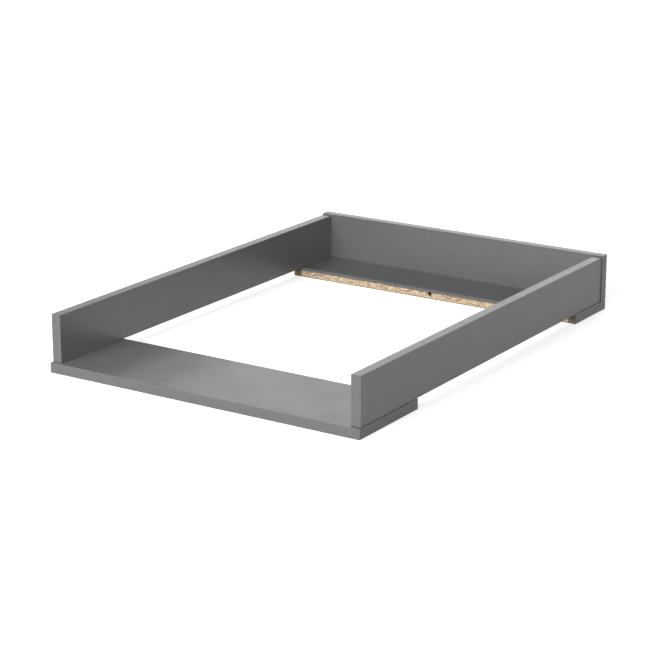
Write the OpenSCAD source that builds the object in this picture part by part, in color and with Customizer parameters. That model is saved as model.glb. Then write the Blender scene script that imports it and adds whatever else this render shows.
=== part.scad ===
// Changing top for a chest of drawers: an open, bottomless frame of grey
// melamine-faced chipboard. A flat board lies in front of the chest's own top
// and another behind it, two side rails stand across them, and a panel closes
// the back. +X is right, +Y is back, +Z is up. The origin is under the middle
// of the frame, on the plane that the two boards' undersides lie in.

/* [Frame] */
// Width of the two boards and of the rear panel
width = 545; // [440:1:900]
// Depth, from the front board's front edge to the rear panel's back
depth = 760; // [620:1:900]
// Thickness of every board
board_t = 16; // [15:1:19]

/* [Boards] */
// Depth of the front board
front_board_d = 155; // [140:1:220]
// Depth of the rear board, as far as the rear panel
rear_board_d = 91; // [80:1:160]
// Height of a side rail
rail_h = 74.5; // [72:0.5:140]
// Height of the rear panel, from the underside of the boards
panel_h = 93; // [90:1:170]
// How far a side rail stands in from the ends of the boards
rail_inset = 1.5; // [0:0.5:6]
// How far the side rails stand back from the front edge
rail_setback = 5; // [0:1:12]

/* [Surfaces] */
// Thickness of the melamine faces
face_t = 0.3; // [0.2:0.1:0.8]
// Thickness of the plastic edge bands
band_t = 1; // [1:0.5:2]
// Radius along the outer corners of an edge band
band_r = 0.8; // [0.2:0.1:0.9]
// How far the rear board's top face wraps down over its front edge
wrap_h = 4.5; // [3:0.5:7]
// Radius that it bends over
wrap_r = 1.5; // [1:0.5:2.5]

/* [Fasteners] */
// Outside diameter of a screw's thread
screw_d = 7; // [6:0.5:7]
// Length of a screw, from the board's surface to its tip
screw_l = 50; // [44:1:52]
// Diameter of a dowel
dowel_d = 8; // [6:1:8]
// Length of a dowel
dowel_l = 30; // [24:1:32]
// Diameter of the locating hole in the rear board's front edge
locating_hole_d = 8; // [5:1:9]
// Depth of the locating hole
locating_hole_l = 25; // [12:1:30]

/* [Hidden] */

$fn = 48;
melamine = "#6c6c6d";
edging = "#757576";
chipboard = "#c9a878";
zinc = "#b9bcc0";
beech = "#d8b98a";

// Planes and centre lines
x_end = width / 2;
y_front = -depth / 2;
y_back = depth / 2;
y_panel = y_back - board_t;
y_gap_front = y_front + front_board_d;
y_gap_back = y_panel - rear_board_d;
y_rail = y_front + rail_setback;
x_rail = x_end - rail_inset - board_t / 2;

// Each board is [length, width, [edge bands on its left, right, near and far sides]],
// lying in its own frame with its near left corner at the origin
front_board = [width, front_board_d, [1, 1, 1, 0]];
rear_board = [width, rear_board_d, [1, 1, 0, 0]];
rear_panel = [width, panel_h, [1, 1, 0, 1]];
rail = [y_panel - y_rail, rail_h, [1, 0, 1, 1]];
LEFT = 0;
RIGHT = 1;
NEAR = 2;
FAR = 3;

// Countersunk panel screw with a hexagon socket
head_d = 10;
head_rim = 1.2;
head_h = 3.6;
head_below = 0.2; // a head lies this far under the board's surface
shank_l = 12;
thread_pitch = 3;
thread_depth = 1;
thread_flank = 0.9;
tip_l = 3;
socket_w = 4;
socket_l = 3;

// Fluted dowel
dowel_in_face = 10; // its depth in the board that it enters through a face
dowel_chamfer = 1.2;
flutes = 16;
flute_r = 0.35;

// Bores leave this much room around a fastener, and past its end
bore_room = 0.1;
end_room = 1;

// Fastener places, on the 32 mm grid of board furniture
grid = 32;
front_mid_y = (y_front + y_gap_front) / 2;
front_screw_y = [front_mid_y - 1.5 * grid, front_mid_y + 1.5 * grid];
rear_screw_y = y_gap_back + 24;
rear_dowel_y = rear_screw_y + grid;
panel_dowel_z = board_t + 26;
panel_screw_z = panel_dowel_z + grid;
panel_screw_x = [-6 * grid, 0, 6 * grid];
panel_dowel_x = [-3 * grid, 3 * grid];

// ---- The layers of a board, in its own frame ----

// Thickness of the edging on one side of a board
function edge_t(board, side) = band_t * board[2][side];

// Length of an edge band on the near or far side, which covers the left and right ones
function long_band_l(board) = board[0];

// Length of an edge band on the left or right side, between the near and far ones
function short_band_l(board) = board[1] - edge_t(board, NEAR) - edge_t(board, FAR);

// What lies inside the edge bands, from z0 to z1
module layer(board, z0, z1) {
    translate([edge_t(board, LEFT), edge_t(board, NEAR), z0])
        cube([board[0] - edge_t(board, LEFT) - edge_t(board, RIGHT), short_band_l(board), z1 - z0]);
}

module core_layer(board) {
    layer(board, face_t, board_t - face_t);
}

module upper_layer(board) {
    layer(board, board_t - face_t, board_t);
}

module lower_layer(board) {
    layer(board, 0, face_t);
}

// The rear board in section, front to back and upwards, with its upper front corner rounded. Its
// top and its front are set back by skin.
module wrapped_section(skin) {
    r = wrap_r - skin;
    translate([skin, 0]) square([rear_board_d - skin, board_t - wrap_r]);
    translate([wrap_r, 0]) square([rear_board_d - wrap_r, board_t - skin]);
    translate([wrap_r, board_t - wrap_r]) circle(r);
}

// The top face in section, which ends part of the way down the raw front edge
module wrapped_face_section() {
    difference() {
        wrapped_section(0);
        wrapped_section(face_t);
        square([rear_board_d, board_t - wrap_h]);
    }
}

module wrapped_core_section() {
    difference() {
        wrapped_section(0);
        wrapped_face_section();
        square([rear_board_d, face_t]);
    }
}

// Runs a section of a board along it, as far in from both ends as inset
module run_along(board, inset) {
    translate([inset, 0, 0]) rotate([90, 0, 90]) linear_extrude(board[0] - 2 * inset) children();
}

// A rectangle from the origin, with its corners at y = 0 rounded by r0 and r1
module rounded_strip(l, w, r0, r1) {
    intersection() {
        square([l, w]);
        union() {
            translate([r0, 0]) square([l - r0 - r1, w]);
            translate([0, band_r]) square([l, w]);
            if (r0 > 0) translate([r0, r0]) circle(r0);
            if (r1 > 0) translate([l - r1, r1]) circle(r1);
        }
    }
}

// Edging along +X with its outer side at y = 0. start and end are 1 where it reaches a corner of
// the board, and so is rounded there too.
module edge_band(l, start, end) {
    intersection() {
        linear_extrude(board_t) rounded_strip(l, band_t, band_r * start, band_r * end);
        translate([l, 0, 0]) rotate([0, -90, 0]) linear_extrude(l)
            rounded_strip(board_t, band_t, band_r, band_r);
    }
}

module near_band(board) {
    edge_band(long_band_l(board), board[2][LEFT], board[2][RIGHT]);
}

module far_band(board) {
    translate([board[0], board[1], 0]) rotate(180)
        edge_band(long_band_l(board), board[2][RIGHT], board[2][LEFT]);
}

module left_band(board) {
    translate([0, board[1] - edge_t(board, FAR), 0]) rotate(-90) edge_band(short_band_l(board), 0, 0);
}

module right_band(board) {
    translate([board[0], edge_t(board, NEAR), 0]) rotate(90) edge_band(short_band_l(board), 0, 0);
}

// ---- Fasteners and their bores, along +Z from the head or the lower end ----

module screw() {
    r = screw_d / 2;
    z_end = screw_l - head_below;
    turns = floor((z_end - shank_l - tip_l) / thread_pitch);
    // Each turn rises from the thread's root to its crest and falls back
    thread = [for (turn = [0 : turns - 1], step = [0 : 2]) [
        r - (step == 1 ? 0 : thread_depth),
        shank_l + (turn + 0.2) * thread_pitch + step * thread_flank
    ]];
    translate([0, 0, head_below]) difference() {
        rotate_extrude() polygon(concat(
            [[0, 0], [head_d / 2, 0], [head_d / 2, head_rim], [r, head_h], [r, shank_l]],
            thread,
            [[r - thread_depth, z_end - tip_l], [0, z_end]]
        ));
        translate([0, 0, -1]) cylinder(d = socket_w / cos(30), h = socket_l + 1, $fn = 6);
    }
}

module screw_bore() {
    r = screw_d / 2 + bore_room;
    head_r = head_d / 2 + bore_room;
    z_rim = head_below + head_rim + bore_room;
    z_neck = head_below + head_h + bore_room;
    z_end = screw_l + end_room;
    rotate_extrude() polygon([
        [0, -1], [head_r, -1], [head_r, z_rim], [r, z_neck], [r, z_end], [0, z_end]
    ]);
}

module dowel() {
    r = dowel_d / 2;
    intersection() {
        linear_extrude(dowel_l) difference() {
            circle(r);
            for (i = [0 : flutes - 1]) rotate(i * 360 / flutes) translate([r, 0]) circle(flute_r, $fn = 16);
        }
        rotate_extrude() polygon([
            [0, 0], [r - dowel_chamfer, 0], [r, dowel_chamfer],
            [r, dowel_l - dowel_chamfer], [r - dowel_chamfer, dowel_l], [0, dowel_l]
        ]);
    }
}

module dowel_bore() {
    translate([0, 0, -end_room]) cylinder(r = dowel_d / 2 + bore_room, h = dowel_l + 2 * end_room);
}

module locating_hole() {
    translate([0, y_gap_back - 1, board_t / 2]) rotate([-90, 0, 0])
        cylinder(d = locating_hole_d, h = locating_hole_l + 1);
}

// ---- Where the fasteners go. The child is a fastener or its bore. ----

module at_both_rails() {
    for (side = [-1, 1]) translate([side * x_rail, 0, 0]) children();
}

// Points forward into the frame, from a place that lies depth_in behind the panel's back face
module from_behind(x, z, depth_in = 0) {
    translate([x, y_back - depth_in, z]) rotate([90, 0, 0]) children();
}

module place_front_board_screws() {
    at_both_rails() for (y = front_screw_y) translate([0, y, 0]) children();
}

module place_rear_board_screws() {
    at_both_rails() translate([0, rear_screw_y, 0]) children();
}

module place_panel_rail_screws() {
    at_both_rails() from_behind(0, panel_screw_z) children();
}

module place_panel_board_screws() {
    for (x = panel_screw_x) from_behind(x, board_t / 2) children();
}

module place_front_board_dowels() {
    at_both_rails() translate([0, front_mid_y, board_t - dowel_in_face]) children();
}

module place_rear_board_dowels() {
    at_both_rails() translate([0, rear_dowel_y, board_t - dowel_in_face]) children();
}

module place_panel_rail_dowels() {
    at_both_rails() from_behind(0, panel_dowel_z, board_t - dowel_in_face) children();
}

module place_panel_board_dowels() {
    for (x = panel_dowel_x) from_behind(x, board_t / 2, board_t - dowel_in_face) children();
}

// Bores that join the rails to the two flat boards
module upright_bores() {
    place_front_board_screws() screw_bore();
    place_rear_board_screws() screw_bore();
    place_front_board_dowels() dowel_bore();
    place_rear_board_dowels() dowel_bore();
}

module panel_rail_bores() {
    place_panel_rail_screws() screw_bore();
    place_panel_rail_dowels() dowel_bore();
}

module panel_board_bores() {
    place_panel_board_screws() screw_bore();
    place_panel_board_dowels() dowel_bore();
}

// ---- Where the boards go. The child is a layer or a band, and gets its bores here. ----

module place_front_board() {
    difference() {
        translate([-x_end, y_front, 0]) children();
        upright_bores();
    }
}

module place_rear_board() {
    difference() {
        translate([-x_end, y_gap_back, 0]) children();
        upright_bores();
        panel_board_bores();
        locating_hole();
    }
}

// The panel's lower layer becomes its back
module place_rear_panel() {
    difference() {
        translate([-x_end, y_back, 0]) rotate([90, 0, 0]) children();
        panel_rail_bores();
        panel_board_bores();
    }
}

// side is -1 for the left rail and 1 for the right one. A rail's lower layer faces left.
module place_rail(side) {
    difference() {
        translate([side * x_rail - board_t / 2, y_rail, board_t]) rotate([90, 0, 90]) children();
        upright_bores();
        panel_rail_bores();
    }
}

// ---- Front board ----

module front_board_core() {
    color(chipboard) place_front_board() core_layer(front_board);
}

module front_board_top_face() {
    color(melamine) place_front_board() upper_layer(front_board);
}

module front_board_under_face() {
    color(melamine) place_front_board() lower_layer(front_board);
}

module front_board_front_band() {
    color(edging) place_front_board() near_band(front_board);
}

module front_board_left_band() {
    color(edging) place_front_board() left_band(front_board);
}

module front_board_right_band() {
    color(edging) place_front_board() right_band(front_board);
}

// ---- Rear board ----

module rear_board_core() {
    color(chipboard) place_rear_board() run_along(rear_board, band_t) wrapped_core_section();
}

module rear_board_top_face() {
    color(melamine) place_rear_board() run_along(rear_board, band_t) wrapped_face_section();
}

module rear_board_under_face() {
    color(melamine) place_rear_board() lower_layer(rear_board);
}

module rear_board_left_band() {
    color(edging) place_rear_board() intersection() {
        left_band(rear_board);
        run_along(rear_board, 0) wrapped_section(0);
    }
}

module rear_board_right_band() {
    color(edging) place_rear_board() intersection() {
        right_band(rear_board);
        run_along(rear_board, 0) wrapped_section(0);
    }
}

// ---- Rear panel ----

module rear_panel_core() {
    color(chipboard) place_rear_panel() core_layer(rear_panel);
}

module rear_panel_inner_face() {
    color(melamine) place_rear_panel() upper_layer(rear_panel);
}

module rear_panel_outer_face() {
    color(melamine) place_rear_panel() lower_layer(rear_panel);
}

module rear_panel_top_band() {
    color(edging) place_rear_panel() far_band(rear_panel);
}

module rear_panel_left_band() {
    color(edging) place_rear_panel() left_band(rear_panel);
}

module rear_panel_right_band() {
    color(edging) place_rear_panel() right_band(rear_panel);
}

// ---- Side rails. side is -1 for the left one and 1 for the right one. ----

module rail_core(side) {
    color(chipboard) place_rail(side) core_layer(rail);
}

module rail_inner_face(side) {
    color(melamine) place_rail(side) {
        if (side < 0) upper_layer(rail);
        if (side > 0) lower_layer(rail);
    }
}

module rail_outer_face(side) {
    color(melamine) place_rail(side) {
        if (side < 0) lower_layer(rail);
        if (side > 0) upper_layer(rail);
    }
}

module rail_top_band(side) {
    color(edging) place_rail(side) far_band(rail);
}

module rail_bottom_band(side) {
    color(edging) place_rail(side) near_band(rail);
}

module rail_front_band(side) {
    color(edging) place_rail(side) left_band(rail);
}

// ---- Screws and dowels ----

module front_board_screws() {
    color(zinc) place_front_board_screws() screw();
}

module rear_board_screws() {
    color(zinc) place_rear_board_screws() screw();
}

module panel_rail_screws() {
    color(zinc) place_panel_rail_screws() screw();
}

module panel_board_screws() {
    color(zinc) place_panel_board_screws() screw();
}

module front_board_dowels() {
    color(beech) place_front_board_dowels() dowel();
}

module rear_board_dowels() {
    color(beech) place_rear_board_dowels() dowel();
}

module panel_rail_dowels() {
    color(beech) place_panel_rail_dowels() dowel();
}

module panel_board_dowels() {
    color(beech) place_panel_board_dowels() dowel();
}

front_board_core();
front_board_top_face();
front_board_under_face();
front_board_front_band();
front_board_left_band();
front_board_right_band();
rear_board_core();
rear_board_top_face();
rear_board_under_face();
rear_board_left_band();
rear_board_right_band();
rear_panel_core();
rear_panel_inner_face();
rear_panel_outer_face();
rear_panel_top_band();
rear_panel_left_band();
rear_panel_right_band();
rail_core(-1);  // left_rail_core
rail_inner_face(-1);  // left_rail_inner_face
rail_outer_face(-1);  // left_rail_outer_face
rail_top_band(-1);  // left_rail_top_band
rail_bottom_band(-1);  // left_rail_bottom_band
rail_front_band(-1);  // left_rail_front_band
rail_core(1);  // right_rail_core
rail_inner_face(1);  // right_rail_inner_face
rail_outer_face(1);  // right_rail_outer_face
rail_top_band(1);  // right_rail_top_band
rail_bottom_band(1);  // right_rail_bottom_band
rail_front_band(1);  // right_rail_front_band
front_board_screws();
rear_board_screws();
panel_rail_screws();
panel_board_screws();
front_board_dowels();
rear_board_dowels();
panel_rail_dowels();
panel_board_dowels();
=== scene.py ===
"""The looks of the changing top: materials, broken chipboard edges and turned screws around the
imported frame, with a camera and a plain studio. Lengths are in metres, in the frame's own axes."""

import math

import bmesh
import bpy
from mathutils import Matrix, Vector


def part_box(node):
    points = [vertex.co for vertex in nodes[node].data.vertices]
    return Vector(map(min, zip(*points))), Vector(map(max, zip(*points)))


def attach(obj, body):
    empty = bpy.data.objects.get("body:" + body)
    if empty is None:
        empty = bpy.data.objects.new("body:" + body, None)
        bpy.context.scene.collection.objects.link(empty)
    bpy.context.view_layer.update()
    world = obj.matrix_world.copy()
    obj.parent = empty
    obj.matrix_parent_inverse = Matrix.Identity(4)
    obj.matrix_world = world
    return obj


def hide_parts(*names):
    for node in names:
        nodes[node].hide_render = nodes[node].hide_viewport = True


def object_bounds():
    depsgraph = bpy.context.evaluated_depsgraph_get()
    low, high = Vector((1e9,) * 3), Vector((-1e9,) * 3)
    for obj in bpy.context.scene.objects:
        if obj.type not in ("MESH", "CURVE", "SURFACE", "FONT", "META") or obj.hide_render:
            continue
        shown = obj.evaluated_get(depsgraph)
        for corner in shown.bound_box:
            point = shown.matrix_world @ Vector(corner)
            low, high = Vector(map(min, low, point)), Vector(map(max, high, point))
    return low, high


MM = 0.001
SAME_PLACE = 0.001 * MM  # corners closer than this are one

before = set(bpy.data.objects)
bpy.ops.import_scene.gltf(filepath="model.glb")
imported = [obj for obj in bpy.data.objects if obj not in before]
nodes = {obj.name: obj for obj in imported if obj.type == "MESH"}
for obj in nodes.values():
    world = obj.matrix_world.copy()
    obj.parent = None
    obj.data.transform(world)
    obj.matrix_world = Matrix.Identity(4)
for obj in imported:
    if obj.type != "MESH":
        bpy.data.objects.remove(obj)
cad_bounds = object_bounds()
scene = bpy.context.scene


# ---------------------------------------------------------------- node trees

class Tree:
    """A node tree that is built by calls: an input given a socket is linked, any other is set."""

    def __init__(self, tree):
        self.tree = tree

    def link(self, value, socket):
        self.tree.links.new(value, socket)

    def add(self, kind, inputs=None, **settings):
        node = self.tree.nodes.new(kind)
        for name, value in settings.items():
            setattr(node, name, value)
        for name, value in (inputs or {}).items():
            if isinstance(value, bpy.types.NodeSocket):
                self.link(value, node.inputs[name])
            else:
                node.inputs[name].default_value = value
        return node

    def math(self, operation, a, b=0.0, clamp=False):
        node = self.add("ShaderNodeMath", {0: a, 1: b}, operation=operation, use_clamp=clamp)
        return node.outputs[0]

    def vector_math(self, operation, a, b):
        return self.add("ShaderNodeVectorMath", {0: a, 1: b}, operation=operation).outputs[0]

    def dot(self, a, b):
        node = self.add("ShaderNodeVectorMath", {0: a, 1: b}, operation="DOT_PRODUCT")
        return node.outputs["Value"]

    def length(self, a):
        node = self.add("ShaderNodeVectorMath", {0: a}, operation="LENGTH")
        return node.outputs["Value"]

    def vector(self, x, y, z):
        return self.add("ShaderNodeCombineXYZ", {0: x, 1: y, 2: z}).outputs[0]

    def scaled(self, place, sizes):
        """The place in units of sizes, so that blobs one unit across come out as large as sizes."""
        return self.vector_math("MULTIPLY", place, tuple(1 / size for size in sizes))

    def noise(self, place, size=1.0, detail=2.0, roughness=0.5):
        """Noise from 0 to 1 whose blobs are about size across."""
        inputs = {"Vector": place, "Scale": 1 / size, "Detail": detail, "Roughness": roughness}
        return self.add("ShaderNodeTexNoise", inputs).outputs[0]

    def cells(self, place):
        """Voronoi cells about one unit across."""
        return self.add("ShaderNodeTexVoronoi", {"Vector": place, "Scale": 1.0}).outputs

    def ramp(self, factor, stops):
        """A colour that runs through stops, a list of (place, colour)."""
        node = self.add("ShaderNodeValToRGB", {"Fac": factor})
        elements = node.color_ramp.elements
        while len(elements) < len(stops):
            elements.new(0.5)
        for element, (place, colour) in zip(elements, stops):
            element.position = place
            element.color = (*colour, 1.0)
        return node.outputs["Color"]

    def to_range(self, value, low, high, to_low=0.0, to_high=1.0, smooth=False):
        inputs = {"Value": value, "From Min": low, "From Max": high, "To Min": to_low, "To Max": to_high}
        shape = "SMOOTHSTEP" if smooth else "LINEAR"
        return self.add("ShaderNodeMapRange", inputs, interpolation_type=shape).outputs["Result"]

    def spread(self, noise, low, high):
        """Noise, most of which lies from 0.3 to 0.7, spread from low to high."""
        return self.to_range(noise, 0.3, 0.7, low, high)

    def mottled(self, noise, colour, share):
        """The colour, lighter and darker by up to that share of it."""
        ends = [tuple(part * amount for part in colour) for amount in (1 - share, 1 + share)]
        return self.ramp(noise, [(0.3, ends[0]), (0.7, ends[1])])

    def between(self, factor, a, b):
        """The number a where factor is 0, and b where it is 1."""
        inputs = {"Factor": factor, "A": a, "B": b}
        return self.add("ShaderNodeMix", inputs, data_type="FLOAT").outputs[0]

    def shade(self, colour, amount):
        """The colour times the number amount."""
        return self.vector_math("MULTIPLY", colour, self.vector(amount, amount, amount))


def new_material(name):
    """A material with one Principled shader. Returns the material, its tree, and the shader."""
    material = bpy.data.materials.new(name)
    material.use_nodes = True
    material.node_tree.nodes.clear()
    tree = Tree(material.node_tree)
    shader = tree.add("ShaderNodeBsdfPrincipled")
    tree.add("ShaderNodeOutputMaterial", {"Surface": shader.outputs[0]})
    return material, tree, shader


def finish_surface(tree, shader, colour, roughness, height, depth):
    """Links a surface's colour and roughness, and a bump from height, a number from 0 to 1."""
    bump = tree.add("ShaderNodeBump", {"Height": height, "Strength": 1.0, "Distance": depth})
    tree.link(colour, shader.inputs["Base Color"])
    tree.link(roughness, shader.inputs["Roughness"])
    tree.link(bump.outputs["Normal"], shader.inputs["Normal"])


def place_of(tree):
    """Where the surface is, in the frame's axes: every piece's object sits at the origin."""
    return tree.add("ShaderNodeTexCoord").outputs["Object"]


# ---------------------------------------------------------------- grey surfaces

GREY_MELAMINE = (0.143, 0.143, 0.146)
# Edging as (colour, specular level). On the boards' ends, which face sideways, it is duller, and its
# colour is darker as painted shade
GREY_BAND = ((0.149, 0.149, 0.152), 0.5)
GREY_SHADED_END_BAND = ((0.119, 0.119, 0.122), 0.4)


def grey_melamine():
    """Pressed resin paper: a fine pearl grain, faint mottling, and a sheen that is a little uneven."""
    material, tree, shader = new_material("grey_melamine")
    place = place_of(tree)
    mottle = tree.noise(place, 9 * MM, detail=3.0)
    colour = tree.mottled(mottle, GREY_MELAMINE, 0.035)
    fleck = tree.spread(tree.noise(place, 0.5 * MM, detail=1.0), 0.965, 1.035)
    uneven = tree.noise(place, 45 * MM, detail=5.0, roughness=0.6)
    roughness = tree.spread(uneven, 0.33, 0.39)
    pearl = tree.noise(place, 0.8 * MM, detail=2.0)
    finish_surface(tree, shader, tree.shade(colour, fleck), roughness, pearl, 0.02 * MM)
    return material


def arris(tree):
    """1 on a rounded corner, whose normal lies between two of the frame's axes, and 0 elsewhere."""
    normal = tree.add("ShaderNodeNewGeometry").outputs["Normal"]
    parts = tree.add("ShaderNodeSeparateXYZ", {0: normal}).outputs
    sizes = [tree.math("ABSOLUTE", part) for part in parts]
    largest = tree.math("MAXIMUM", tree.math("MAXIMUM", sizes[0], sizes[1]), sizes[2])
    return tree.to_range(largest, 0.99, 0.93, smooth=True)


def grey_band(name, finish, along):
    """Plastic edging: fine drawn lines along it, a faint waviness, and paler rounded corners, a painted
    highlight. finish is its colour and specular level, and along is its axis, 0 to 2."""
    colour, specular = finish
    material, tree, shader = new_material(name)
    shader.inputs["Specular IOR Level"].default_value = specular
    place = place_of(tree)
    sizes = [0.25 * MM] * 3
    sizes[along] = 60 * MM
    lines = tree.noise(tree.scaled(place, sizes), detail=2.0)
    mottle = tree.noise(place, 14 * MM, detail=3.0)
    colour = tree.mottled(mottle, colour, 0.03)
    roughness = tree.spread(mottle, 0.32, 0.38)
    line_tone = tree.spread(lines, 0.98, 1.02)
    # Painted highlight: the rounded corners are made up to a quarter paler
    tone = tree.math("MULTIPLY", line_tone, tree.to_range(arris(tree), 0.0, 1.0, 1.0, 1.25))
    finish_surface(tree, shader, tree.shade(colour, tone), roughness, lines, 0.008 * MM)
    return material


def give(material, *names):
    """Puts the material on CAD nodes."""
    for name in names:
        slots = nodes[name].data.materials
        slots.clear()
        slots.append(material)


give(grey_melamine(), *[name for name in nodes if name.endswith("_face")])
bands = {}
for name in nodes:
    if name.endswith("_band"):
        low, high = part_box(name)
        size = high - low
        along = max(range(3), key=lambda axis: size[axis])
        # The edging on the boards' sideways ends takes the colour darkened as painted shade
        kind, finish = ("end", GREY_SHADED_END_BAND) if size.x == min(size) else ("edge", GREY_BAND)
        title = f"grey_{kind}_band_{along}"
        if title not in bands:
            bands[title] = grey_band(title, finish, along)
        give(bands[title], name)


# ---------------------------------------------------------------- chipboard

# Tones of the chips, from bark to pale sapwood
CHIP_TONES = [
    (0.00, (0.280, 0.170, 0.085)),
    (0.10, (0.450, 0.310, 0.175)),
    (0.35, (0.640, 0.475, 0.305)),
    (0.65, (0.750, 0.590, 0.410)),
    (1.00, (0.880, 0.750, 0.570)),
]
CHIP = (4.8 * MM, 4.8 * MM, 1.0 * MM)  # in the board's plane, and across its thickness
DUST = (1.5 * MM, 1.5 * MM, 0.45 * MM)  # the fine particles of the outer layers
CORE_HALF = 4.6 * MM  # half the thickness of the coarse middle layer
CORE_BLEND = 1.4 * MM  # over this much more height its chips give way to the fine ones
CORE_SWAY = 3.2 * MM  # how far the layers wander up and down
# Where a raw edge tore deeper in a thin line, as heights over the board's middle: along the rear board's
# front edge this is right under the strip of its facing, and at its foot. Such a line is also darkened,
# as painted shade
TORN = {"rear_board": (2.9 * MM, -7.3 * MM)}
TORN_HALF = 0.9 * MM
TORN_SHADE = 0.55  # how much darker such a line is, as painted shade in the torn groove, and how deep it tore, as shares of the most
TORN_DEEP = 0.8
DRILLED = 1.0 * MM  # any surface deeper in a board than this is the wall of a drilled hole
BORE_SHADE_SHARE = 0.1  # of its colour that such a wall keeps, a painted shade inside the hole
RAIL_SHADOW_REACH = 13.5 * MM  # the flat boards' raw edges are darker this far in from their ends, a painted shadow of the rails that stand over them
RAIL_SHADOW_SHARE = 0.42  # of their colour that they keep in that painted shadow


def board_place(tree, place, board):
    """The place in the board's own directions: two in its plane, and the height over its middle."""
    low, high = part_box(f"{board}_core")
    middle = (low + high) / 2
    thin = min(range(3), key=lambda axis: high[axis] - low[axis])
    parts = tree.add("ShaderNodeSeparateXYZ", {0: place}).outputs
    height = tree.math("SUBTRACT", parts[thin], middle[thin])
    return tree.vector(*[parts[axis] for axis in range(3) if axis != thin], height), height


def chip_field(tree, place, board):
    """Chipboard at a place: the tone of the chip there, and how deep it broke off, each from 0 to 1.
    The meshes and the material both use it, so that they agree."""
    place, height = board_place(tree, place, board)
    torn = 0.0
    for middle in TORN.get(board, ()):
        distance = tree.math("ABSOLUTE", tree.math("SUBTRACT", height, middle))
        near = tree.to_range(distance, TORN_HALF, TORN_HALF / 3, smooth=True)
        torn = tree.math("MAXIMUM", torn, near)
    sway = tree.math("SUBTRACT", tree.noise(place, 9 * MM, detail=1.0), 0.5)
    lift = tree.vector(0.0, 0.0, tree.math("MULTIPLY", sway, CORE_SWAY))
    place = tree.vector_math("ADD", place, lift)
    off_middle = tree.math("ABSOLUTE", height)
    coarse = tree.to_range(off_middle, CORE_HALF + CORE_BLEND, CORE_HALF, smooth=True)
    chips = tree.cells(tree.scaled(place, CHIP))
    dust = tree.cells(tree.scaled(place, DUST))
    tone = tree.between(coarse, tree.dot(dust["Color"], (1, 0, 0)), tree.dot(chips["Color"], (1, 0, 0)))
    chip_depth = tree.math("POWER", tree.dot(chips["Color"], (0, 1, 0)), 2.5)
    dust_depth = tree.math("MULTIPLY", tree.dot(dust["Color"], (0, 1, 0)), 0.2)
    # Painted shade: the torn lines are darkened in tone
    tone = tree.math("SUBTRACT", tone, tree.math("MULTIPLY", torn, TORN_SHADE), clamp=True)
    depth = tree.between(coarse, dust_depth, chip_depth)
    return tone, tree.math("MAXIMUM", depth, tree.math("MULTIPLY", torn, TORN_DEEP))


def darker(tree, place, board):
    """The share of its colour that the chipboard keeps under painted shade: in drilled holes, and at the
    flat boards' raw edge ends, under a painted shadow of the rails.
    """
    low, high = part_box(f"{board}_core")
    from_low = tree.vector_math("SUBTRACT", place, low)
    from_high = tree.vector_math("SUBTRACT", high, place)
    nearest = tree.vector_math("MINIMUM", from_low, from_high)
    inside = tree.add("ShaderNodeSeparateXYZ", {0: nearest}).outputs
    depth = tree.math("MINIMUM", tree.math("MINIMUM", inside[0], inside[1]), inside[2])
    # Painted shade on the walls of drilled holes
    share = tree.to_range(depth, DRILLED, 2 * DRILLED, 1.0, BORE_SHADE_SHARE)
    if board in ("front_board", "rear_board"):
        # Painted shadow of the rails on the ends of the raw edges
        rail_shadow = tree.to_range(inside[0], RAIL_SHADOW_REACH - MM, RAIL_SHADOW_REACH + MM, RAIL_SHADOW_SHARE, 1.0)
        share = tree.math("MULTIPLY", share, rail_shadow)
    return share


def chipboard(board):
    """Raw chipboard. Its chips lie flat in the board, so each board has its own directions."""
    material, tree, shader = new_material(f"chipboard_{board}")
    place = place_of(tree)
    tone, depth = chip_field(tree, place, board)
    own_place = board_place(tree, place, board)[0]
    fibre = tree.noise(tree.scaled(own_place, (2.5 * MM, 2.5 * MM, 0.22 * MM)), detail=3.0)
    tone = tree.math("ADD", tone, tree.to_range(fibre, 0.25, 0.75, -0.16, 0.16), clamp=True)
    # Painted shade: chips that broke off deeper are darker
    hollow_shade = tree.to_range(depth, 0.25, 1.0, 1.0, 0.62)
    share = tree.math("MULTIPLY", hollow_shade, darker(tree, place, board))
    colour = tree.shade(tree.ramp(tone, CHIP_TONES), share)
    roughness = tree.spread(fibre, 0.72, 0.9)
    finish_surface(tree, shader, colour, roughness, fibre, 0.12 * MM)
    return material


def new_object(name, mesh):
    obj = bpy.data.objects.new(name, mesh)
    scene.collection.objects.link(obj)
    return obj


def baked(obj, name):
    """A mesh of the object as its modifiers leave it."""
    bpy.context.view_layer.update()
    mesh = bpy.data.meshes.new_from_object(obj.evaluated_get(bpy.context.evaluated_depsgraph_get()))
    mesh.name = name
    return mesh


def smooth_shade(mesh, angle):
    """Shades the mesh smooth, apart from edges that are sharper than angle in degrees."""
    mesh.shade_smooth()
    mesh.set_sharp_from_angle(angle=math.radians(angle))


SHAVING_T = 1.0 * MM  # the thickness of the slab that shaves an edge
SHAVING_MARGIN = 2.0 * MM  # how far the slab runs past the edge all round
SHAVED_LEAST = 0.04 * MM  # how deep the chips broke off, at the least and at the most
SHAVED_MOST = 0.55 * MM


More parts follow.
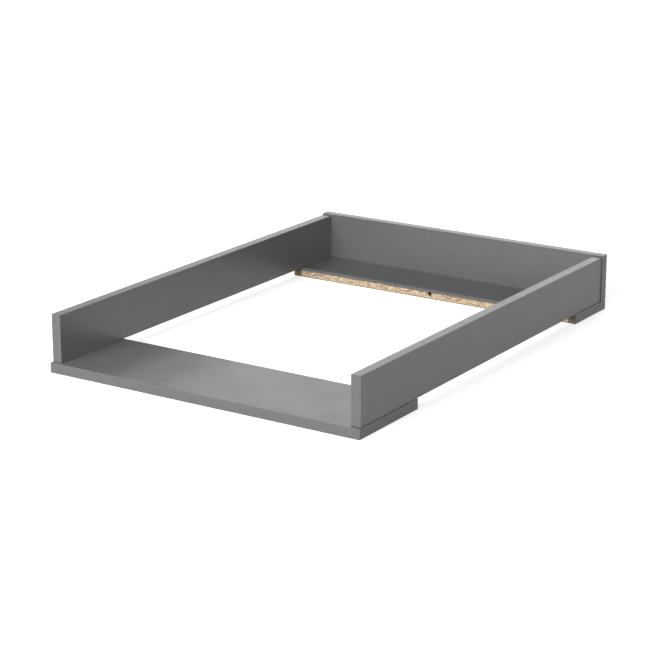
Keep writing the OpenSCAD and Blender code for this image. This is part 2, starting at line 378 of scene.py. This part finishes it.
def shaving(board, axis, side, cell):
    """A slab against one side of the board's core, whose inner face is broken into chips. It lies on
    the low side of the axis where side is -1, and on the high side where it is 1."""
    low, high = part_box(f"{board}_core")
    across = [a for a in range(3) if a != axis]
    starts = [low[a] - SHAVING_MARGIN for a in across]
    counts = [math.ceil((high[a] - low[a] + 2 * SHAVING_MARGIN) / cell) for a in across]
    face = (low if side < 0 else high)[axis]

    def corner(i, j):
        point = Vector()
        point[across[0]] = starts[0] + i * cell
        point[across[1]] = starts[1] + j * cell
        point[axis] = face
        return point

    mesh = bpy.data.meshes.new("shaving")
    build = bmesh.new()
    grid = [
        [build.verts.new(corner(i, j)) for j in range(counts[1] + 1)]
        for i in range(counts[0] + 1)
    ]
    for i in range(counts[0]):
        for j in range(counts[1]):
            build.faces.new((grid[i][j], grid[i + 1][j], grid[i + 1][j + 1], grid[i][j + 1]))
    rim = [grid[i][0] for i in range(counts[0])]
    rim += [grid[-1][j] for j in range(counts[1])]
    rim += [grid[i][-1] for i in range(counts[0], 0, -1)]
    rim += [grid[0][j] for j in range(counts[1], 0, -1)]
    outer = []
    for vertex in rim:
        point = vertex.co.copy()
        point[axis] += side * SHAVING_T
        outer.append(build.verts.new(point))
    for k, vertex in enumerate(rim):
        after = (k + 1) % len(rim)
        build.faces.new((vertex, outer[k], outer[after], rim[after]))
    build.faces.new(outer)
    bmesh.ops.recalc_face_normals(build, faces=build.faces)
    build.to_mesh(mesh)
    build.free()

    group = bpy.data.node_groups.new("break_chips", "GeometryNodeTree")
    for direction in ("INPUT", "OUTPUT"):
        group.interface.new_socket("Geometry", in_out=direction, socket_type="NodeSocketGeometry")
    tree = Tree(group)
    place = tree.add("GeometryNodeInputPosition").outputs[0]
    depth = chip_field(tree, place, board)[1]
    distance = tree.to_range(depth, 0.0, 1.0, SHAVED_LEAST, SHAVED_MOST)
    parts = tree.add("ShaderNodeSeparateXYZ", {0: place}).outputs
    from_face = tree.math("ABSOLUTE", tree.math("SUBTRACT", parts[axis], face))
    on_face = tree.math("LESS_THAN", from_face, SHAVING_T / 2)
    step = [0.0, 0.0, 0.0]
    step[axis] = tree.math("MULTIPLY", tree.math("MULTIPLY", distance, on_face), -side)
    source = tree.add("NodeGroupInput")
    inputs = {"Geometry": source.outputs[0], "Offset": tree.vector(*step)}
    moved = tree.add("GeometryNodeSetPosition", inputs)
    tree.add("NodeGroupOutput", {0: moved.outputs[0]})
    slab = new_object("shaving", mesh)
    slab.modifiers.new("break_chips", "NODES").node_group = group
    return slab


def break_edge(board, axis, side, cell):
    """The board's core with one raw side broken into chips. It stands for the CAD core."""
    slab = shaving(board, axis, side, cell)
    cutter = new_object("cutter", baked(slab, "cutter"))
    body = new_object("body", nodes[f"{board}_core"].data.copy())
    weld = body.modifiers.new("weld", "WELD")
    weld.merge_threshold = SAME_PLACE
    cut = body.modifiers.new("cut", "BOOLEAN")
    cut.operation = "DIFFERENCE"
    cut.solver = "MANIFOLD"
    cut.object = cutter
    name = f"{board}_chipboard"
    piece = new_object(name, baked(body, name))
    for helper in (slab, cutter, body):
        bpy.data.objects.remove(helper)
    piece.data.materials.clear()
    piece.data.materials.append(chipboard(board))
    smooth_shade(piece.data, 50)
    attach(piece, "root")
    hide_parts(f"{board}_core")


break_edge("rear_board", axis=1, side=-1, cell=0.45 * MM)
break_edge("front_board", axis=1, side=1, cell=0.5 * MM)
break_edge("rear_panel", axis=2, side=-1, cell=0.5 * MM)
for side in ("left", "right"):
    give(chipboard(f"{side}_rail"), f"{side}_rail_core")


# ---------------------------------------------------------------- screws and dowels

SCREW_R = 3.5 * MM
SCREW_L = 49.8 * MM
ROOT_R = 2.5 * MM
HEAD_R = 5.0 * MM
HEAD_RIM = 1.2 * MM
HEAD_H = 3.6 * MM
SHANK_L = 12.0 * MM
TIP_L = 3.0 * MM
PITCH = 3.0 * MM
FLANK = 0.9 * MM
TURNS = 11
SOCKET_HALF = 2.0 * MM  # from the middle of the hexagon socket to one of its flats
SOCKET_L = 3.0 * MM
CREST_HALF = 0.08 * MM  # half the width of the thread's crest
SUNK = 0.2 * MM  # how deep the thread's foot lies in the root
STEPS = 48  # round a screw


def hexagon(angle):
    """How far the socket's side is from its middle, at an angle."""
    return SOCKET_HALF / math.cos(angle % math.radians(60) - math.radians(30))


def screw_rings():
    """The screw without its thread, from the socket's bottom to the tip, as (z, radius at an angle)."""
    chamfer = 0.2 * MM
    plain = [
        (0.0, HEAD_R - 2 * chamfer), (chamfer / 3, HEAD_R - 0.7 * chamfer), (chamfer, HEAD_R),
        (HEAD_RIM, HEAD_R), (HEAD_RIM + chamfer, HEAD_R - chamfer), (HEAD_H, SCREW_R),
        (HEAD_H + chamfer, SCREW_R - chamfer / 2), (SHANK_L - chamfer, SCREW_R - chamfer / 2),
        (SHANK_L + 2 * chamfer, ROOT_R), (SCREW_L - TIP_L, ROOT_R), (SCREW_L - chamfer, chamfer),
    ]
    socket = [(SOCKET_L, hexagon), (chamfer, hexagon), (0.0, lambda angle: hexagon(angle) + chamfer)]
    return socket + [(z, lambda angle, r=r: r) for z, r in plain]


def angle_of(step):
    return 2 * math.pi * step / STEPS


def round_z(angle, radius, z):
    return Vector((radius * math.cos(angle), radius * math.sin(angle), z))


def screw_body():
    build = bmesh.new()
    rings = [
        [build.verts.new(round_z(angle_of(k), radius(angle_of(k)), z)) for k in range(STEPS)]
        for z, radius in screw_rings()
    ]
    for ring, after in zip(rings, rings[1:]):
        for k in range(STEPS):
            j = (k + 1) % STEPS
            build.faces.new((ring[k], ring[j], after[j], after[k]))
    # The drill left a shallow cone in the socket, and the tip ends in a point
    for ring, z in ((rings[0], SOCKET_L + 0.6 * MM), (rings[-1], SCREW_L)):
        point = build.verts.new((0.0, 0.0, z))
        for k in range(STEPS):
            build.faces.new((point, ring[k], ring[(k + 1) % STEPS]))
    return mesh_of(build, "screw_body")


def screw_thread():
    """A ridge that winds round the screw, and rises from its root at both ends."""
    build = bmesh.new()
    count = TURNS * STEPS
    fade = STEPS / 2
    sections = []
    for k in range(count + 1):
        rise = min(1.0, k / fade, (count - k) / fade)
        crest = ROOT_R - SUNK / 2 + (SCREW_R - ROOT_R + SUNK / 2) * rise
        z = SHANK_L + 0.2 * PITCH + FLANK + PITCH * k / STEPS
        angle = angle_of(k)
        section = [
            (ROOT_R - SUNK, -FLANK - SUNK), (crest, -CREST_HALF),
            (crest, CREST_HALF), (ROOT_R - SUNK, FLANK + SUNK),
        ]
        sections.append([build.verts.new(round_z(angle, r, z + dz)) for r, dz in section])
    for section, after in zip(sections, sections[1:]):
        for a in range(4):
            b = (a + 1) % 4
            build.faces.new((section[a], section[b], after[b], after[a]))
    build.faces.new(sections[0])
    build.faces.new(sections[-1])
    return mesh_of(build, "screw_thread")


def mesh_of(build, name):
    """A mesh of the bmesh, with its faces turned outwards."""
    bmesh.ops.recalc_face_normals(build, faces=build.faces)
    mesh = bpy.data.meshes.new(name)
    build.to_mesh(mesh)
    build.free()
    return mesh


def screw_mesh():
    """One screw along +Z from its head. An attribute keeps where each corner is on the screw."""
    body = new_object("screw_body", screw_body())
    thread = new_object("screw_thread", screw_thread())
    join = body.modifiers.new("join", "BOOLEAN")
    join.operation = "UNION"
    join.solver = "MANIFOLD"
    join.object = thread
    mesh = baked(body, "screw")
    bpy.data.objects.remove(body)
    bpy.data.objects.remove(thread)
    places = mesh.attributes.new("screw_place", "FLOAT_VECTOR", "POINT")
    for vertex, item in zip(mesh.vertices, places.data):
        item.vector = vertex.co
    smooth_shade(mesh, 35)
    return mesh


def zinc():
    """Zinc-plated steel: turning marks round the head, and a plating that is a little cloudy."""
    material, tree, shader = new_material("zinc_steel")
    place = tree.add("ShaderNodeAttribute", attribute_name="screw_place").outputs["Vector"]
    parts = tree.add("ShaderNodeSeparateXYZ", {0: place}).outputs
    radius = tree.length(tree.vector(parts[0], parts[1], 0.0))
    rings = tree.noise(tree.vector(radius, parts[2], 0.0), 0.12 * MM, detail=2.0)
    cloud = tree.noise(place, 1.8 * MM, detail=4.0, roughness=0.6)
    colour = tree.ramp(cloud, [(0.3, (0.56, 0.575, 0.60)), (0.7, (0.69, 0.70, 0.715))])
    roughness = tree.math("ADD", tree.spread(cloud, 0.26, 0.4), tree.spread(rings, -0.04, 0.04))
    shader.inputs["Metallic"].default_value = 1.0
    finish_surface(tree, shader, colour, roughness, rings, 0.01 * MM)
    return material


# Tones of steamed beech, along its grain
BEECH_TONES = [(0.25, (0.56, 0.37, 0.21)), (0.5, (0.66, 0.46, 0.28)), (0.8, (0.74, 0.55, 0.36))]


def beech(name, along):
    """Steamed beech: fine grain along the dowel, whose axis is along, 0 to 2, and the short dark
    flecks of its rays."""
    material, tree, shader = new_material(name)
    place = place_of(tree)
    grain_sizes = [0.5 * MM] * 3
    grain_sizes[along] = 20 * MM
    fleck_sizes = [0.22 * MM] * 3
    fleck_sizes[along] = 1.8 * MM
    grain = tree.noise(tree.scaled(place, grain_sizes), detail=4.0)
    rays = tree.noise(tree.scaled(place, fleck_sizes), detail=1.0)
    flecks = tree.to_range(rays, 0.6, 0.72, 1.0, 0.72)
    colour = tree.ramp(grain, BEECH_TONES)
    roughness = tree.spread(grain, 0.55, 0.7)
    finish_surface(tree, shader, tree.shade(colour, flecks), roughness, grain, 0.05 * MM)
    return material


def middles(node):
    """The middle of the box of each separate solid in a CAD node."""
    build = bmesh.new()
    build.from_mesh(nodes[node].data)
    bmesh.ops.remove_doubles(build, verts=build.verts, dist=SAME_PLACE)
    left = set(build.verts)
    found = []
    while left:
        group, front = set(), [left.pop()]
        while front:
            vertex = front.pop()
            group.add(vertex)
            for edge in vertex.link_edges:
                other = edge.other_vert(vertex)
                if other in left:
                    left.remove(other)
                    front.append(other)
        low = Vector([min(v.co[a] for v in group) for a in range(3)])
        high = Vector([max(v.co[a] for v in group) for a in range(3)])
        found.append((low + high) / 2)
    build.free()
    return sorted(found, key=lambda middle: tuple(round(c, 5) for c in middle))


TURNED_ON = 1.1  # radians from one screw's socket to the next one's


def add_screws(node, screw, material, direction):
    """Screws in the places of a CAD node's, pointing from their heads along direction."""
    join = bmesh.new()
    for k, middle in enumerate(middles(node)):
        start = middle - direction * SCREW_L / 2
        upright = direction.to_track_quat("Z", "Y").to_matrix().to_4x4()
        turn = upright @ Matrix.Rotation(k * TURNED_ON, 4, "Z")
        copy = screw.copy()
        copy.transform(Matrix.Translation(start) @ turn)
        join.from_mesh(copy)
        bpy.data.meshes.remove(copy)
    mesh = bpy.data.meshes.new(f"{node}_turned")
    join.to_mesh(mesh)
    join.free()
    mesh.materials.append(material)
    piece = new_object(f"{node}_turned", mesh)
    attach(piece, "root")
    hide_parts(node)


steel = zinc()
one_screw = screw_mesh()
UP = Vector((0, 0, 1))
FORWARD = Vector((0, -1, 0))
for node in ("front_board_screws", "rear_board_screws"):
    add_screws(node, one_screw, steel, UP)
for node in ("panel_rail_screws", "panel_board_screws"):
    add_screws(node, one_screw, steel, FORWARD)
bpy.data.meshes.remove(one_screw)
give(beech("beech_upright", 2), "front_board_dowels", "rear_board_dowels")
give(beech("beech_level", 1), "panel_rail_dowels", "panel_board_dowels")


# ---------------------------------------------------------------- studio and camera

LENS = 115.7471
SENSOR = 36.0
CAMERA_AZIMUTH = 33.0911
CAMERA_ELEVATION = 16.7894
CAMERA_DISTANCE = 3.2702
AIM = Vector((-18.21, -19.58, -21.5)) * MM  # from the middle of the object's box


def add_camera():
    low, high = cad_bounds
    aim = (low + high) / 2 + AIM
    azimuth, elevation = math.radians(CAMERA_AZIMUTH), math.radians(CAMERA_ELEVATION)
    back = Vector((
        math.sin(azimuth) * math.cos(elevation),
        -math.cos(azimuth) * math.cos(elevation),
        math.sin(elevation),
    ))
    data = bpy.data.cameras.new("camera")
    data.lens = LENS
    data.sensor_width = SENSOR
    camera = bpy.data.objects.new("camera", data)
    camera.location = aim + back * CAMERA_DISTANCE
    camera.rotation_euler = (-back).to_track_quat("-Z", "Y").to_euler()
    scene.collection.objects.link(camera)
    scene.camera = camera


def add_area_light(name, power, size, place, aim=(0, 0, 0), glossy=True):
    """A soft panel that the camera doesn't see. Where glossy is off, it lights the object but doesn't
    mirror in it, so that the flat tops don't glare at a camera that faces the panel."""
    data = bpy.data.lights.new(name, "AREA")
    data.shape = "RECTANGLE"
    data.size, data.size_y = size
    data.energy = power
    light = bpy.data.objects.new(name, data)
    light.location = place
    light.rotation_euler = (Vector(aim) - Vector(place)).to_track_quat("-Z", "Y").to_euler()
    light.visible_camera = False
    light.visible_glossy = glossy
    scene.collection.objects.link(light)


FLOOR_HALF = 30.0
FLOOR_GREY = 0.9
NEAR, FAR = 0.7, 4.0  # distances from the object's middle between which the floor's glow rises
GLOW_NEAR, GLOW_FAR = 0.52, 0.9
BACKDROP_GREY = 0.93


def grey(level):
    return (level, level, level, 1.0)


def add_floor():
    """A plain white floor that runs past the camera's view on every side. It glows a little, and more
    far from the object, where the panels' light doesn't reach."""
    mesh = bpy.data.meshes.new("floor")
    z = cad_bounds[0].z
    corners = [(x * FLOOR_HALF, y * FLOOR_HALF, z) for x, y in ((-1, -1), (1, -1), (1, 1), (-1, 1))]
    mesh.from_pydata(corners, [], [(0, 1, 2, 3)])
    material, tree, shader = new_material("floor")
    shader.inputs["Base Color"].default_value = grey(FLOOR_GREY)
    shader.inputs["Roughness"].default_value = 0.9
    shader.inputs["Emission Color"].default_value = grey(1.0)
    distance = tree.length(place_of(tree))
    glow = tree.to_range(distance, NEAR, FAR, GLOW_NEAR, GLOW_FAR, smooth=True)
    tree.link(glow, shader.inputs["Emission Strength"])
    mesh.materials.append(material)
    floor = new_object("floor", mesh)
    floor.visible_diffuse = False  # no light bounces off it onto the object


def add_world():
    """A pale backdrop, which the camera sees and which lights nothing."""
    world = bpy.data.worlds.new("studio")
    world.use_nodes = True
    world.node_tree.nodes["Background"].inputs["Color"].default_value = grey(BACKDROP_GREY)
    world.cycles_visibility.diffuse = False
    world.cycles_visibility.glossy = False
    scene.world = world


add_camera()
add_floor()
add_world()
add_area_light("key", 62, (1.6, 1.6), (-0.5, -2.6, 1.5), glossy=False)
add_area_light("front_high", 112, (3.0, 1.2), (0.6, -4.2, 1.9), glossy=False)
add_area_light("front_low", 22, (3.0, 1.2), (0.6, -4.6, 0.8), glossy=False)
add_area_light("right", 34, (1.6, 1.2), (3.0, -0.6, 1.6))
add_area_light("top_left", 8, (1.8, 1.8), (-1.2, -0.2, 2.6))
add_area_light("back_fill", 16, (2.4, 1.0), (0.6, 3.6, 0.8))
add_area_light("left_fill", 16, (2.4, 1.0), (-3.4, -0.6, 0.7))
add_area_light("backdrop_low", 147, (6.0, 2.4), (-1.8, 4.6, 1.3), aim=(-1.8, 4.6, 0.0))
add_area_light("backdrop_high", 116, (6.0, 3.4), (-1.2, 4.4, 2.4), aim=(-1.2, 4.4, 0.0))
scene.view_settings.view_transform = "Standard"
